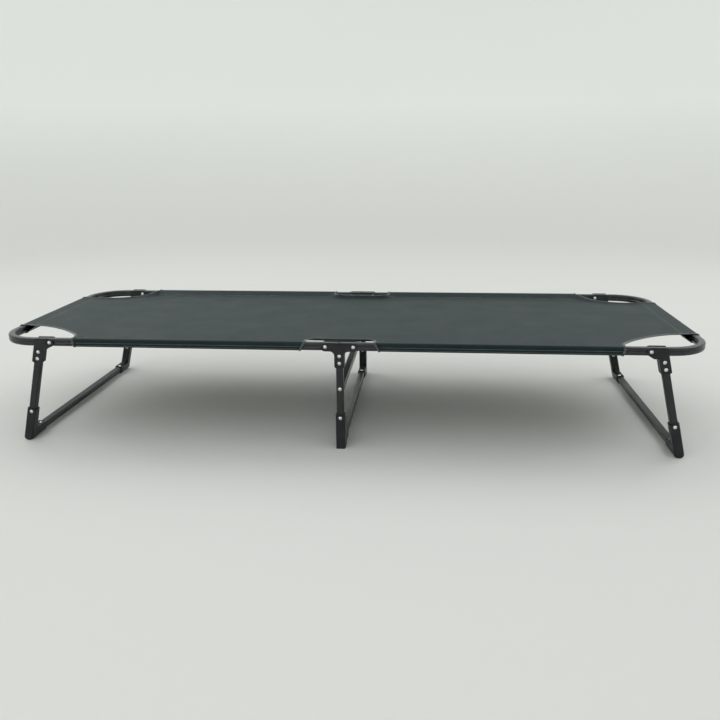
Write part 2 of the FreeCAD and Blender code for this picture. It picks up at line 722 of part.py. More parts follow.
def make_middle_leg():
    base = frame(z="rail_height")
    tube_spots = (("0", "-middle_rivet_drop"), ("0", "-middle_rivet_drop - leg_rivet_pitch"),
                  ("0", "elbow_height - elbow_margin - middle_leg_drop"), ("0", "-brace_drop"))
    for end, sign in ENDS:
        at_end = base + " * " + frame(y=f"{sign} * half_spacing")
        make_middle_bracket(f"middle_bracket_{end}", at_end)
        make_upright(f"middle_upright_{end}", at_end, "middle_tube_top", "middle_leg_drop", tube_spots)
        at_elbow = base + " * " + frame(y=f"{sign} * half_spacing", z="-middle_leg_drop",
                                        angle="0" if sign < 0 else "180")
        make_elbow(f"middle_elbow_{end}", at_elbow, rounded_foot=False)
    make_level_tube("middle_crossbar", base + " * " + frame(z="-middle_leg_drop"),
                    "rail_spacing - 2 * elbow_seat", CROSSBAR_SPOTS)
    make_level_tube("middle_brace", base + " * " + frame(z="-brace_drop"), "brace_length", ())
    make_brace_plugs(base)
    make_brace_screws(base)
    ends = [f"{sign} * half_spacing" for _, sign in ENDS]
    rivets("middle_pivots", base, BRACKET_SEAT,
           [across(f"{side} * middle_pivot", y, "0") for y in ends for side in (-1, 1)])
    rivets("middle_bracket_rivets", base, BRACKET_SEAT,
           [across("0", y, f"-middle_rivet_drop - {row} * leg_rivet_pitch")
            for y in ends for row in (0, 1)])
    make_elbow_rivets("middle_elbow_rivets", base, "0", "middle_leg_drop")


def make_brace_plugs(base):
    """A solid plug in each end of the brace, bored for its screw."""
    plugs = []
    for end, sign in ENDS:
        name = f"brace_plug_{end}"
        block = doc.addObject("Part::Box", name + "_block")
        width = "(tube_width - 2 * tube_corner)"
        for side in ("Length", "Width"):
            block.setExpression(side, bind(width))
        block.setExpression("Height", bind("plug_length"))
        place(block, frame(f"-{width} / 2", f"-{width} / 2", "0"))
        bore = doc.addObject("Part::Cylinder", name + "_bore")
        bore.setExpression("Radius", bind("hole_radius"))
        bore.setExpression("Height", bind("plug_length"))
        plug = doc.addObject("Part::Cut", name)
        plug.Base = block
        plug.Tool = bore
        plugs.append((plug, across("0", f"{sign} * brace_length / 2 + (1 - {sign}) / 2 * plug_length",
                                   "-brace_drop")))
    make_group("brace_plugs", base, plugs)


def make_brace_screws(base):
    """The screw through each upright into its plug."""
    screws = []
    for end, sign in ENDS:
        screw = make_screw(f"brace_screw_{end}", "tube_width / 2", "tube_width + screw_length")
        turn = 90 if sign < 0 else -90
        screws.append((screw, frame("0", f"{sign} * half_spacing", "-brace_drop",
                                    axis="1; 0; 0", angle=str(turn))))
    make_group("brace_screws", base, screws)


def write_parts():
    """Check every object, then write each sub-part that has a label of its own."""
    doc.recompute()
    for item in doc.Objects:
        if "Invalid" in item.State or "Error" in item.State:
            raise RuntimeError(f"{item.Name} failed: {item.State}")
    os.makedirs("parts", exist_ok=True)
    for item in doc.Objects:
        if item.TypeId not in ("PartDesign::Body", "Part::Compound"):
            continue
        shape = item.Shape
        if shape.isNull() or not shape.isValid():
            raise RuntimeError(f"{item.Label} has no valid shape")
        shape.exportStep(f"parts/{item.Label}.step")
        print(f"{item.Label:28s} {len(shape.Solids)} solids, {shape.Volume / 1000:9.2f} cm3")


for side_name, side_turn in SIDES:
    make_frame_half(side_name, side_turn)
    make_end_leg(side_name, side_turn)
make_middle_leg()
write_parts()
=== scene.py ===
"""Looks of the folding cot: stretched cloth deck, stitched hems, materials, studio light and camera."""

import json
import math

import bmesh
import bpy
import numpy as np
from mathutils import Matrix, Vector, kdtree, noise
from mathutils.geometry import delaunay_2d_cdt


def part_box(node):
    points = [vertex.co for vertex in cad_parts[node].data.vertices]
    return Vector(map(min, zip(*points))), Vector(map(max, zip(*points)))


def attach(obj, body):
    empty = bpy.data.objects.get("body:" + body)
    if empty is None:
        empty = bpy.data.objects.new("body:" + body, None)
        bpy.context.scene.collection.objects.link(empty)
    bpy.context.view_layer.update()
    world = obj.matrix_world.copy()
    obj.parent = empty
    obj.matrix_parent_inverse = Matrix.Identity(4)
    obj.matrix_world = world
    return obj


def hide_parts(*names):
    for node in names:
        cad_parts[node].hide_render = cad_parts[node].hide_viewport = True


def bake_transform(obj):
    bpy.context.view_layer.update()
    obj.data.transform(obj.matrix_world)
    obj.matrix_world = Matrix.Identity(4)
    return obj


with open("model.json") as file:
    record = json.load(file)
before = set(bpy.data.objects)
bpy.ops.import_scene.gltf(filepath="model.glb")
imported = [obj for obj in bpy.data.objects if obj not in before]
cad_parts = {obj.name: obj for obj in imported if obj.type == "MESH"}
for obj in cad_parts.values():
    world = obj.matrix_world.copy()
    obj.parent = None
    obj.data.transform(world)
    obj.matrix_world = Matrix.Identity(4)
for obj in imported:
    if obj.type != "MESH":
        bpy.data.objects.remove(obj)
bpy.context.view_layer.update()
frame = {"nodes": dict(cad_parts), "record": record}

# ---------------------------------------------------------------- places taken from the frame
RAIL_WIDTH, RAIL_DEPTH, RAIL_CORNER = 0.019, 0.021, 0.005
rail_low, rail_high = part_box("right_rail")
RAIL_Y = rail_high.y - RAIL_WIDTH / 2
RAIL_Z = (rail_low.z + rail_high.z) / 2
END_TUBE = rail_high.x - RAIL_WIDTH / 2
END_PIVOT = sum(corner.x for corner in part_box("right_leg_pivots")) / 2

# ---------------------------------------------------------------- the deck's cut and fit
CLOTH = 0.0008                      # thickness
SNUG = 0.0008                       # rail's surface to the middle of the cloth round it
SEAM_INSET = 0.036                  # centre line of a rail or end tube to its sleeve's seam
SEAM_Y = RAIL_Y - SEAM_INSET
END_SEAM = END_TUBE - SEAM_INSET
RAIL_TOP = RAIL_DEPTH / 2 + SNUG    # cloth over a rail, above the rail's centre line
SLEEVE_START = 0.092
SLEEVE_END = END_PIVOT - 0.062
MIDDLE_EDGE = RAIL_Y - 0.0415       # hem of the middle cut-outs
MIDDLE_BEND = 0.034, 0.026          # rounding along and across where that hem turns out to the sleeve
MIDDLE_LIFT = 0.009                 # how far that hem stands over the panel
MIDDLE_STRIP = 0.014                # width of the strip that slopes up to it
END_HALF = RAIL_Y - 0.134           # half the length of the end sleeve
CUT_FOOT = RAIL_Y - 0.0105          # where a corner cut-out leaves the side sleeve
CUT_RADIUS = 0.200
CORNER_LIFT = 0.0015                # hem of the corner cut-outs over the panel
CORNER_STRIP = 0.026
PANEL_BEND = 0.05                   # softness of the bend where the panel starts to rise
FADE_OUT, FADE_IN = 0.025, 0.010    # how the corner hem's lift dies away past and before the sleeve's end
CALM_START, CALM_LENGTH = 0.87, 0.034    # where that lift ends, before the end tube
LIFT_END, LIFT_FADE = 0.070, 0.050  # where the middle hem's lift starts to die away, and over what length
LEAN_REACH = 0.03                   # how far into a sleeve the lean of its end is felt
START_LEAN = 0.004, 0.0065          # shift of the sleeve's start at rail height, and its change to the top
END_LEAN = 0.002, 0.002             # the same at the sleeve's end, the other way
SAG = 0.0025
PUCKER_REACH = 0.022
ARC_STEPS = 8

OUTLINE_STEP = 0.0024
COARSE, MIDDLING, FINE = 0.0075, 0.0045, 0.0022    # spacing of the cloth's points
EDGE_ROOM = 0.0012                  # least distance of a point inside the cloth to its outline
SHARP_CLOTH, SHARP_THREAD = math.radians(50), math.radians(60)

HANDS = (("left", -1), ("right", 1))


def smooth(t):
    t = np.clip(t, 0, 1)
    return t * t * (3 - 2 * t)


def wrap_path(tip_side, tip_up):
    """Section of cloth pulled round a rail, from its seam over the top and back below to the seam.

    Gives the length run, the distance inward of the rail's centre line and the height at each point."""
    side, up = RAIL_WIDTH / 2 - RAIL_CORNER, RAIL_DEPTH / 2 - RAIL_CORNER
    radius = RAIL_CORNER + SNUG

    def ply_angle(drop):
        reach = tip_side - side
        return math.degrees(math.atan2(drop, reach) + math.asin(radius / math.hypot(drop, reach)))

    upper, lower = ply_angle(up - tip_up), ply_angle(up + tip_up)
    points = [(tip_side, tip_up)]
    for centre_side, centre_up, first, last in (
        (side, up, upper, 0),
        (-side, up, 0, -90),
        (-side, -up, -90, -180),
        (side, -up, -180, -180 - lower),
    ):
        for turn in np.radians(np.linspace(first, last, ARC_STEPS + 1)):
            points.append((centre_side + radius * math.sin(turn), centre_up + radius * math.cos(turn)))
    points.append((tip_side, tip_up - 1.2 * CLOTH))
    points = np.array(points)
    run = np.concatenate(([0], np.cumsum(np.linalg.norm(np.diff(points, axis=0), axis=1))))
    return run, points[:, 0], points[:, 1]


END_RISE = RAIL_TOP * (END_SEAM - SLEEVE_END) / (END_TUBE - RAIL_WIDTH / 2 + RAIL_CORNER - SLEEVE_END)
SIDE_WRAP = wrap_path(SEAM_INSET, 0)
END_WRAP = wrap_path(SEAM_INSET, END_RISE)
TOP_RUN = SIDE_WRAP[0][ARC_STEPS + 1]
FLAT_HALF_WIDTH = SEAM_Y + SIDE_WRAP[0][-1]
FLAT_END = END_SEAM + END_WRAP[0][-1]


def cut_centre():
    """Centre of the curve of a corner cut-out, outside the cloth."""
    first, last = Vector((SLEEVE_END, CUT_FOOT)), Vector((END_TUBE - RAIL_CORNER, END_HALF))
    chord = last - first
    away = Vector((-chord.y, chord.x)).normalized()
    return (first + last) / 2 + away * math.sqrt(CUT_RADIUS ** 2 - chord.length_squared / 4)


CUT_CENTRE = cut_centre()


def ramp(u):
    """Nothing while u is well below zero, then u, with a soft bend between."""
    return (np.sqrt(u * u + PANEL_BEND ** 2) + u) / 2


def surface(flat, hand):
    """Where points of the flat cloth lie on the stretched deck.

    hand is -1 for the left half and 1 for the right."""
    x, across = flat[:, 0], np.abs(flat[:, 1])
    past = across - SEAM_Y
    run, side, up = SIDE_WRAP
    y = np.where(past <= 0, across, RAIL_Y - np.interp(past, run, side))
    z = np.where(past <= 0, 0, np.interp(past, run, up))
    held = np.where(past < TOP_RUN, np.clip(z / RAIL_TOP, 0, 1), 1)

    # The panel rises from the side sleeves' ends onto the end tube.
    rise = END_RISE * ramp(x - SLEEVE_END) / ramp(END_SEAM - SLEEVE_END)
    sag = SAG * np.clip(1 - (across / SEAM_Y) ** 2, 0, 1)
    sag = sag * np.cos(np.clip(x / END_SEAM, 0, 1) * math.pi / 2)
    from_edge = np.hypot(x - CUT_CENTRE.x, across - CUT_CENTRE.y) - CUT_RADIUS
    beyond = x > SLEEVE_END
    fade = np.where(beyond, np.exp((SLEEVE_END - x) / FADE_OUT), np.exp((x - SLEEVE_END) / FADE_IN))
    edge = CORNER_LIFT * beyond + (RAIL_TOP - CORNER_LIFT) * fade
    edge = edge * (1 - smooth((x - CALM_START) / CALM_LENGTH))
    z = z + (1 - held) * (rise - sag + edge * (1 - smooth(from_edge / CORNER_STRIP)))

    # Round the middle cut-out the hem stands up towards the top of the rail.
    hem = np.interp(across, (MIDDLE_EDGE - MIDDLE_STRIP, MIDDLE_EDGE, RAIL_Y - RAIL_WIDTH / 2),
                    (0, MIDDLE_LIFT, RAIL_TOP)) - sag * (across < MIDDLE_EDGE)
    lifted = (1 - smooth((x - LIFT_END) / LIFT_FADE)) * (past < TOP_RUN)
    z = z + lifted * np.maximum(hem - z, 0)

    # The sleeve's ends lean: cut back at the bottom of the rail.
    grip = np.clip(past / 0.010, 0, 1)
    lean, change = START_LEAN
    near = np.exp(-np.clip(x - SLEEVE_START, 0, 1) / LEAN_REACH)
    x3 = x + grip * near * (lean - change * z / RAIL_TOP)
    lean, change = END_LEAN
    near = np.exp(-np.clip(SLEEVE_END - x, 0, 1) / LEAN_REACH)
    x3 = x3 - grip * near * (lean - change * z / RAIL_TOP)

    over = x - END_SEAM
    run, side, up = END_WRAP
    x3 = np.where(over > 0, END_TUBE - np.interp(over, run, side), x3)
    z = np.where(over > 0, np.interp(over, run, up), z)

    place = np.stack((hand * x3, np.where(flat[:, 1] < 0, -y, y), RAIL_Z + z), axis=1)
    loose = (1 - held) * (over < 0)
    place[:, 2] += loose * np.array([wrinkle(hand * u, v) for u, v in flat]) * np.clip(-over / 0.02, 0, 1)
    return place


def wrinkle(x, y):
    """Height of the cloth's slight unevenness: long tension waves, and puckers along the seams."""
    wave = noise.noise(Vector((x * 5, y * 11, 2.5))) * 0.0009
    ripple = noise.noise(Vector((x * 17, y * 5, 7.1))) * 0.0004
    near = math.exp(-abs(SEAM_Y - abs(y)) / PUCKER_REACH)
    pucker = noise.noise(Vector((x * 75, y * 18, 4.7))) * 0.0007 * near
    slack = noise.noise(Vector((x * 34, y * 12, 9.3))) * 0.0008 * near
    return wave + ripple + pucker + slack


def stretch(*corners):
    """Points along the straight lines from corner to corner, without the last one."""
    points = []
    for first, last in zip(corners, corners[1:]):
        count = max(1, round(math.dist(first, last) / OUTLINE_STEP))
        points += [np.array(first) + (np.array(last) - first) * k / count for k in range(count)]
    return points


def middle_edge():
    """Flat line of the cut edge from the middle of the cot along the hem, then round the sleeve's start."""
    along, across = MIDDLE_BEND
    bend = [(SLEEVE_START - along * (1 - math.sin(a)), MIDDLE_EDGE + across * (1 - math.cos(a)))
            for a in np.radians(np.linspace(0, 90, 20))]
    return np.array(stretch((0, MIDDLE_EDGE), bend[0]) + bend[:-1]
                    + stretch(bend[-1], (SLEEVE_START, FLAT_HALF_WIDTH)) + [(SLEEVE_START, FLAT_HALF_WIDTH)])


def corner_edge():
    """Flat line of the cut edge round the sleeve's end, the corner cut-out and the end sleeve's end."""
    slope = SIDE_WRAP[0][1] / (SIDE_WRAP[1][0] - SIDE_WRAP[1][1])
    first = math.atan2(CUT_FOOT - CUT_CENTRE.y, SLEEVE_END - CUT_CENTRE.x)
    last = math.atan2(END_HALF - CUT_CENTRE.y, END_TUBE - RAIL_CORNER - CUT_CENTRE.x)
    first, last = first % (2 * math.pi), last % (2 * math.pi)
    curve = [(CUT_CENTRE.x + CUT_RADIUS * math.cos(a), CUT_CENTRE.y + CUT_RADIUS * math.sin(a))
             for a in np.linspace(first, last, 110)]
    curve = [(x, y if y < SEAM_Y else SEAM_Y + (y - SEAM_Y) * slope) for x, y in curve]
    return np.array(stretch((SLEEVE_END, FLAT_HALF_WIDTH), curve[0]) + curve[:-1]
                    + stretch(curve[-1], (FLAT_END, END_HALF)) + [(FLAT_END, END_HALF)])


MIDDLE_PATH, CORNER_PATH = middle_edge(), corner_edge()
MIRROR = np.array((1, -1))


def flat_outline():
    """Closed outline of half the deck, laid flat."""
    half = np.vstack((MIDDLE_PATH, stretch(MIDDLE_PATH[-1], CORNER_PATH[0])[1:], CORNER_PATH))
    end = stretch(half[-1], half[-1] * MIRROR)[1:]
    middle = stretch(half[0] * MIRROR, half[0])[1:]
    return np.vstack((half, end, half[::-1] * MIRROR, middle))


def lattice(ring):
    """Points inside the outline, close together where the cloth bends."""
    side_strip = 0.264
    rows = np.concatenate((np.arange(0, side_strip - FINE, COARSE), np.linspace(side_strip, SEAM_Y, 13)[:-1],
                           np.arange(0, FLAT_HALF_WIDTH - SEAM_Y, FINE) + SEAM_Y))
    rows = np.concatenate((-rows[:0:-1], rows))
    columns = np.concatenate((np.arange(MIDDLING, END_SEAM - FINE, MIDDLING),
                              END_SEAM + np.arange(0, FLAT_END - END_SEAM, FINE)))
    points = np.stack(np.meshgrid(columns, rows), axis=-1).reshape(-1, 2)
    inside = np.zeros(len(points), bool)
    for first, last in zip(ring, np.roll(ring, -1, axis=0)):
        if first[1] != last[1]:
            crossing = (points[:, 1] >= min(first[1], last[1])) & (points[:, 1] < max(first[1], last[1]))
            reach = first[0] + (points[:, 1] - first[1]) * (last[0] - first[0]) / (last[1] - first[1])
            inside ^= crossing & (points[:, 0] < reach)
    near = kdtree.KDTree(len(ring))
    for i, point in enumerate(ring):
        near.insert((*point, 0), i)
    near.balance()
    return np.array([p for p in points[inside] if near.find((*p, 0))[2] > EDGE_ROOM])


def cloth_mesh(name, hand, ring, inner):
    """The deck's half: cut flat, stretched over the frame and given its thickness."""
    verts = [Vector(p) for p in np.vstack((ring, inner))]
    edges = [(i, (i + 1) % len(ring)) for i in range(len(ring))]
    flat, _, faces = delaunay_2d_cdt(verts, edges, [], 1, 1e-7)[:3]
    flat = np.array(flat)
    bm = bmesh.new()
    points = [bm.verts.new((*p, 0)) for p in flat]
    for face in faces:
        bm.faces.new([points[i] for i in face])
    bmesh.ops.join_triangles(bm, faces=bm.faces[:], angle_face_threshold=3.1, angle_shape_threshold=1.2)
    uv = bm.loops.layers.uv.new("flat")
    for face in bm.faces:
        for loop in face.loops:
            loop[uv].uv = (hand * loop.vert.co.x, loop.vert.co.y)
    for vert, place in zip(points, surface(flat, hand)):
        vert.co = place
    if hand < 0:
        bmesh.ops.reverse_faces(bm, faces=bm.faces[:])
    mesh = bpy.data.meshes.new(name)
    bm.to_mesh(mesh)
    bm.free()
    cloth = link(name, mesh)
    thick = cloth.modifiers.new("thickness", "SOLIDIFY")
    thick.thickness, thick.offset = CLOTH, 0
    bpy.context.view_layer.update()
    evaluated = cloth.evaluated_get(bpy.context.evaluated_depsgraph_get())
    cloth.data = bpy.data.meshes.new_from_object(evaluated)
    cloth.modifiers.clear()
    cloth.data.name = name
    cloth.data.shade_smooth()
    cloth.data.set_sharp_from_angle(angle=SHARP_CLOTH)
    return cloth


def link(name, mesh):
    piece = bpy.data.objects.new(name, mesh)
    bpy.context.scene.collection.objects.link(piece)
    return piece


# ---------------------------------------------------------------- hems and stitching
HEM_IN, HEM_WIDE, HEM_HIGH = 0.0022, 0.0024, 0.0014    # centre from the cut edge, half width, half height
HEM_STEP = 0.0016
HEM_SIDES, THREAD_SIDES = 12, 6
THREAD = 0.00040
ROW_THREAD = 0.00032
WHIP_PITCH = 0.0036
WHIP_STEPS = 10                     # points in each turn of the whip stitch
STITCH_LENGTH, STITCH_PITCH = 0.0027, 0.0040
STITCH_STEPS = 4
PROBE = 0.0015                      # how far inside a line the way into the cloth is read


def unit(v):
    return v / np.linalg.norm(v, axis=1)[:, None]


class Edge:
    """A line drawn on the cloth.

    At each point it has the way along, the way into the cloth and the way out of its face."""

    def __init__(self, flat, hand, step):
        run = np.concatenate(([0], np.cumsum(np.linalg.norm(np.diff(flat, axis=0), axis=1))))
        self.run = np.arange(0, run[-1], step)
        flat = np.stack([np.interp(self.run, run, flat[:, i]) for i in (0, 1)], axis=1)
        along = unit(np.gradient(flat, axis=0))
        side = np.sign(flat[len(flat) // 2, 1])
        into = np.stack((along[:, 1], -along[:, 0]), axis=1) * side
        self.place = surface(flat, hand)
        self.along = unit(np.gradient(self.place, axis=0))
        towards = surface(flat + into * PROBE, hand) - self.place
        towards -= np.sum(towards * self.along, axis=1)[:, None] * self.along
        self.into = unit(towards)
        self.out = np.cross(self.along, self.into) * -side * hand

    def at(self, into, out):
        return self.place + self.into * np.reshape(into, (-1, 1)) + self.out * np.reshape(out, (-1, 1))


class Strands:
    """Collects swept tubes into one mesh, with UVs along and round each tube."""

    def __init__(self):
        self.verts, self.faces, self.uvs = [], [], []

    def sweep(self, rings, run):
        """rings holds the points of each cross section in order."""
        count, sides = rings.shape[:2]
        base = sum(len(v) for v in self.verts)
        self.verts.append(rings.reshape(-1, 3))
        for i in range(count - 1):
            for k in range(sides):
                n = (k + 1) % sides
                self.faces.append(tuple(base + j for j in (i * sides + k, i * sides + n,
                                                           (i + 1) * sides + n, (i + 1) * sides + k)))
                low, high = k / sides, (k + 1) / sides
                self.uvs += [(run[i], low), (run[i], high), (run[i + 1], high), (run[i + 1], low)]
        last = base + (count - 1) * sides
        for cap, u in ((range(base + sides - 1, base - 1, -1), run[0]), (range(last, last + sides), run[-1])):
            self.faces.append(tuple(cap))
            self.uvs += [(u, 0.5)] * sides

    def make(self, name):
        mesh = bpy.data.meshes.new(name)
        mesh.from_pydata(np.vstack(self.verts).tolist(), [], self.faces)
        layer = mesh.uv_layers.new(name="flat")
        layer.data.foreach_set("uv", np.array(self.uvs, np.float32).ravel())
        bm = bmesh.new()
        bm.from_mesh(mesh)
        bmesh.ops.recalc_face_normals(bm, faces=bm.faces[:])
        bm.to_mesh(mesh)
        bm.free()
        mesh.shade_smooth()
        mesh.set_sharp_from_angle(angle=SHARP_THREAD)
        return link(name, mesh)


def hem(strands, path, hand):
    """The cut edge rolled over: a flattened roll of cloth that stands on the outer face."""
    edge = Edge(path, hand, HEM_STEP)
    rings = []
    for a in np.linspace(0, 2 * math.pi, HEM_SIDES, endpoint=False):
        lump = 1 + 0.10 * np.array([noise.noise(Vector((r * 90, hand, 3.3))) for r in edge.run])
        out = HEM_HIGH * math.sin(a) * lump + HEM_HIGH - CLOTH
        rings.append(edge.at(HEM_IN + HEM_WIDE * math.cos(a), np.maximum(out, -CLOTH / 2)))
    strands.sweep(np.stack(rings, axis=1), edge.run)


def whip(strands, path, hand):
    """Thread wound over the hem."""
    edge = Edge(path, hand, WHIP_PITCH / WHIP_STEPS)
    turn = 2 * math.pi * edge.run / WHIP_PITCH
    into = np.cos(turn) * (HEM_WIDE + THREAD * 0.6)
    out = np.sin(turn) * (HEM_HIGH + THREAD * 0.6)
    centre = edge.at(HEM_IN + into, np.maximum(out + HEM_HIGH - CLOTH, -CLOTH / 4))
    along = unit(np.gradient(centre, axis=0))
    outward = np.cos(turn)[:, None] * edge.into + np.sin(turn)[:, None] * edge.out
    outward = unit(outward - np.sum(outward * along, axis=1)[:, None] * along)
    beside = np.cross(along, outward)
    rings = [centre + THREAD * (math.cos(a) * outward + math.sin(a) * beside)
             for a in np.linspace(0, 2 * math.pi, THREAD_SIDES, endpoint=False)]
    strands.sweep(np.stack(rings, axis=1), edge.run)


def stitch_row(strands, first, last, hand):
    """A row of straight stitches on the cloth from first to last, as flat points."""
    length = math.dist(first, last)
    line = np.linspace(first, last, max(2, round(length / 0.01)))
    edge = Edge(line, hand, STITCH_LENGTH / STITCH_STEPS)
    rings_each = STITCH_STEPS + 1
    for start in range(0, len(edge.run) - rings_each, round(STITCH_STEPS * STITCH_PITCH / STITCH_LENGTH)):
        part = slice(start, start + rings_each)
        rings = []
        for a in np.linspace(0, 2 * math.pi, THREAD_SIDES, endpoint=False):
            size = ROW_THREAD * np.array((0.35, 0.95, 1, 0.95, 0.35))
            lift = CLOTH / 2 + ROW_THREAD * np.array((-0.5, 0.35, 0.5, 0.35, -0.5))
            rings.append(edge.place[part] + edge.into[part] * (size * math.cos(a))[:, None]
                         + edge.out[part] * (lift + size * math.sin(a))[:, None])
        strands.sweep(np.stack(rings, axis=1), edge.run[part])


def sleeve_rows():
    """Flat distances from the middle of the cot of the stitch rows on a side sleeve."""
    face = SEAM_Y + SIDE_WRAP[0][2 * (ARC_STEPS + 1)]
    return SEAM_Y + 0.0035, face + 0.0055, face + 0.0122


def deck_half(name, hand, ring, inner, looks):
    """One half of the deck with its hems and stitching."""
    cloth = cloth_mesh(name + "_cloth", hand, ring, inner)
    pieces = []
    for part, path in (("middle", MIDDLE_PATH), ("corner", CORNER_PATH)):
        for kind, work in (("hem", hem), ("whip", whip)):
            strands = Strands()
            for flip in (1, -1):
                work(strands, path * (1, flip), hand)
            piece = strands.make(f"{name}_{part}_{kind}")
            piece.data.materials.append(looks["hem" if kind == "hem" else "thread"])
            pieces.append(piece)
    strands = Strands()
    for flip in (1, -1):
        for across in sleeve_rows():
            y = flip * across
            stitch_row(strands, (SLEEVE_START + 0.012, y), (SLEEVE_END - 0.006, y), hand)
    end_row, row_end = END_SEAM + 0.003, END_HALF - 0.008
    stitch_row(strands, (end_row, -row_end), (end_row, row_end), hand)
    rows = strands.make(name + "_seam_stitches")
    rows.data.materials.append(looks["thread"])
    pieces.append(rows)

    cloth.data.materials.clear()
    cloth.data.materials.append(looks["cloth"])
    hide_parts(name + "_deck")
    for piece in [cloth] + pieces[:2]:
        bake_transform(piece)
    for piece in pieces[2:]:
        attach(piece, name + "_frame")


# ---------------------------------------------------------------- materials
class Look:
    """A node material with short calls for the nodes it needs."""

    def __init__(self, name, **sockets):
        self.material = bpy.data.materials.new(name)
        self.material.use_nodes = True
        self.tree = self.material.node_tree
        self.shader = self.tree.nodes["Principled BSDF"]
        for socket, value in sockets.items():
            self.shader.inputs[socket.replace("_", " ")].default_value = value

    def node(self, kind, **settings):
        node = self.tree.nodes.new("ShaderNode" + kind)
        for key, value in settings.items():
            setattr(node, key, value)
        return node

    def link(self, out, into):
        self.tree.links.new(out, into)

    def coordinates(self, uv=False, scale=(1, 1, 1)):
        source = self.node("TexCoord").outputs["UV" if uv else "Object"]
        mapping = self.node("Mapping")
        mapping.inputs["Scale"].default_value = scale
        self.link(source, mapping.inputs["Vector"])
        return mapping.outputs["Vector"]

    def noise(self, vector, scale, detail=4, roughness=0.5):
        node = self.node("TexNoise")
        node.inputs["Scale"].default_value = scale
        node.inputs["Detail"].default_value = detail
        node.inputs["Roughness"].default_value = roughness
        self.link(vector, node.inputs["Vector"])
        return node.outputs["Fac"]

    def math(self, operation, first, second=None):
        node = self.node("Math", operation=operation)
        for socket, value in zip(node.inputs, (first, second)):
            if value is None:
                continue
            if isinstance(value, (int, float)):
                socket.default_value = value
            else:
                self.link(value, socket)
        return node.outputs[0]

    def ramp(self, value, low, high, first, last):
        """Values from low to high become numbers from first to last."""
        node = self.node("MapRange")
        for name, number in (("From Min", low), ("From Max", high), ("To Min", first), ("To Max", last)):
            node.inputs[name].default_value = number
        self.link(value, node.inputs["Value"])
        return node.outputs["Result"]

    def colours(self, value, *stops):
        """stops are (place, (r, g, b))."""
        node = self.node("ValToRGB")
        elements = node.color_ramp.elements
        while len(elements) < len(stops):
            elements.new(0.5)
        for element, (place, colour) in zip(elements, stops):
            element.position, element.color = place, (*colour, 1)
        self.link(value, node.inputs["Fac"])
        return node.outputs["Color"]

    def bump(self, height, distance, strength=1.0, under=None):
        node = self.node("Bump")
        node.inputs["Distance"].default_value = distance
        node.inputs["Strength"].default_value = strength
        self.link(height, node.inputs["Height"])
        if under is not None:
            self.link(under, node.inputs["Normal"])
        return node.outputs["Normal"]

    def set(self, socket, value):
        self.link(value, self.shader.inputs[socket])


def woven(name, dark, light, pitch=0.0011):
    """Plain-woven polyester: over-and-under threads, mottled colour and a faint sheen."""
    look = Look(name, Specular_IOR_Level=0.20, Sheen_Weight=0.03, Sheen_Roughness=0.35,
                Sheen_Tint=(0.35, 0.85, 0.95, 1), Specular_Tint=(0.75, 1, 1, 1))
    uv = look.coordinates(uv=True)
    split = look.node("SeparateXYZ")
    look.link(uv, split.inputs["Vector"])
    turns = math.pi / pitch
    waves = [look.math("SINE", look.math("MULTIPLY", split.outputs[axis], turns)) for axis in ("X", "Y")]
    cross = look.math("MULTIPLY", *waves)
    crowns = look.math("ABSOLUTE", cross)
    uneven = look.noise(look.coordinates(uv=True, scale=(900, 60, 1)), 1.0)
    slub = look.noise(look.coordinates(uv=True, scale=(60, 900, 1)), 1.0)
    mottle = look.noise(uv, 9, detail=6, roughness=0.6)
    fine = look.math("ADD", look.math("MULTIPLY", uneven, 0.5), look.math("MULTIPLY", slub, 0.5))
    tone = look.math("ADD", look.math("MULTIPLY", mottle, 0.45),
                     look.math("ADD", look.math("MULTIPLY", fine, 0.35), look.math("MULTIPLY", crowns, 0.20)))
    look.set("Base Color", look.colours(tone, (0.30, dark), (0.68, light)))
    look.set("Roughness", look.ramp(look.math("ADD", mottle, fine), 0.7, 1.3, 0.40, 0.52))
    threads = look.bump(crowns, 0.00018, 0.6)
    look.set("Normal", look.bump(fine, 0.00025, 0.5, under=threads))
    return look.material


def thread():
    """Pale twisted thread."""
    look = Look("pale_thread", Sheen_Weight=0.3, Specular_IOR_Level=0.35)
    uv = look.coordinates(uv=True)
    twist = look.node("TexWave", wave_type="BANDS", bands_direction="DIAGONAL")
    twist.inputs["Scale"].default_value = 1.0
    look.link(look.coordinates(uv=True, scale=(900, 0.8, 1)), twist.inputs["Vector"])
    wear = look.noise(uv, 35)
    look.set("Base Color", look.colours(wear, (0.35, (0.30, 0.32, 0.31)), (0.70, (0.48, 0.50, 0.48))))
    look.set("Roughness", look.ramp(wear, 0.3, 0.7, 0.62, 0.80))
    look.set("Normal", look.bump(twist.outputs["Fac"], 0.0002, 0.5))
    return look.material


def powder_coat(name, dark, light, smoothness):
    """Black powder coat on tube: fine orange peel, faint dust and rubbed patches."""
    look = Look(name, Specular_IOR_Level=0.42, Coat_Weight=0.10, Coat_Roughness=0.2)
    place = look.coordinates()
    peel = look.noise(place, 900, detail=2)
    dust = look.noise(place, 14, detail=8, roughness=0.65)
    scuffs = look.noise(look.coordinates(scale=(6, 90, 90)), 1.0, detail=6)
    tone = look.math("ADD", look.math("MULTIPLY", dust, 0.6), look.math("MULTIPLY", scuffs, 0.4))
    look.set("Base Color", look.colours(tone, (0.35, dark), (0.70, light)))
    look.set("Roughness", look.ramp(dust, 0.3, 0.7, smoothness, smoothness + 0.16))
    look.set("Normal", look.bump(peel, 0.00012, 0.35))
    return look.material


